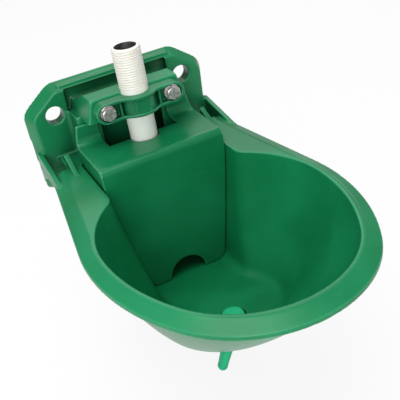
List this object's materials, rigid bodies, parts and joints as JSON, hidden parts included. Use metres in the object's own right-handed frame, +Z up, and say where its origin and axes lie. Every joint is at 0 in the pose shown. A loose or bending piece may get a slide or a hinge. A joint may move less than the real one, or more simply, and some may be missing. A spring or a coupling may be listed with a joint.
{
  "type": "livestock drinking bowl",
  "caption": "Wall-hung oval drinking bowl for livestock with a covered float valve chamber, clamped riser pipe and drain plug.",
  "frame": {"origin": "on the wall plane, midway between the two wall holes", "axes": "+X to the right seen from the front, -Y away from the wall towards the animal, +Z up"},
  "size_m": [0.177, 0.276, 0.2106],
  "materials": {
    "body_plastic": "satin moulded plastic, mid green",
    "cover_plastic": "satin moulded plastic, mid green",
    "pipe_plastic": "moulded plastic, warm white",
    "strainer_plastic": "moulded acetal, natural white",
    "float_plastic": "closed-cell foam, dark grey",
    "stainless": "plain stainless steel",
    "brass": "turned brass",
    "seal_rubber": "black rubber",
    "plug_rubber": "soft rubber, bright green"
  },
  "bodies": {
    "housing": {"bowl_body": "body_plastic", "inlet_pipe": "pipe_plastic", "pipe_clamp": "cover_plastic", "clamp_bolts": "stainless", "clamp_washers": "stainless", "clamp_nuts": "stainless", "valve_body": "pipe_plastic", "valve_nozzle": "brass", "inlet_strainer": "strainer_plastic", "pipe_gasket": "seal_rubber", "lever_pin": "stainless", "pin_clips": "stainless"},
    "cover": {"float_cover": "cover_plastic"},
    "float_arm": {"float_lever": "strainer_plastic", "float_block": "float_plastic", "float_screw": "stainless", "float_washer": "stainless", "float_nut": "stainless"},
    "plunger": {"valve_plunger": "brass", "plunger_seal": "seal_rubber"},
    "plug": {"drain_plug": "plug_rubber"}
  },
  "joints": [
    {"name": "float_lift", "type": "hinge", "parent": "housing", "child": "float_arm", "pos_m": [0, -0.036, -0.07], "axis": [-1, 0, 0], "range_deg": [0, 7.3]},
    {"name": "valve_close", "type": "slide", "parent": "housing", "child": "plunger", "axis": [0, 0, 1], "range_m": [0, 0.0017]},
    {"name": "cover_draw_off", "type": "slide", "parent": "housing", "child": "cover", "axis": [0, -0.99, 0.1411], "range_m": [0, 0.06]},
    {"name": "plug_pull", "type": "slide", "parent": "housing", "child": "plug", "axis": [0, 0, 1], "range_m": [0, 0.0055]}
  ],
  "couplings": [
    {"joint": "valve_close", "follows": "float_lift", "m_per_rad": 0.0133}
  ]
}
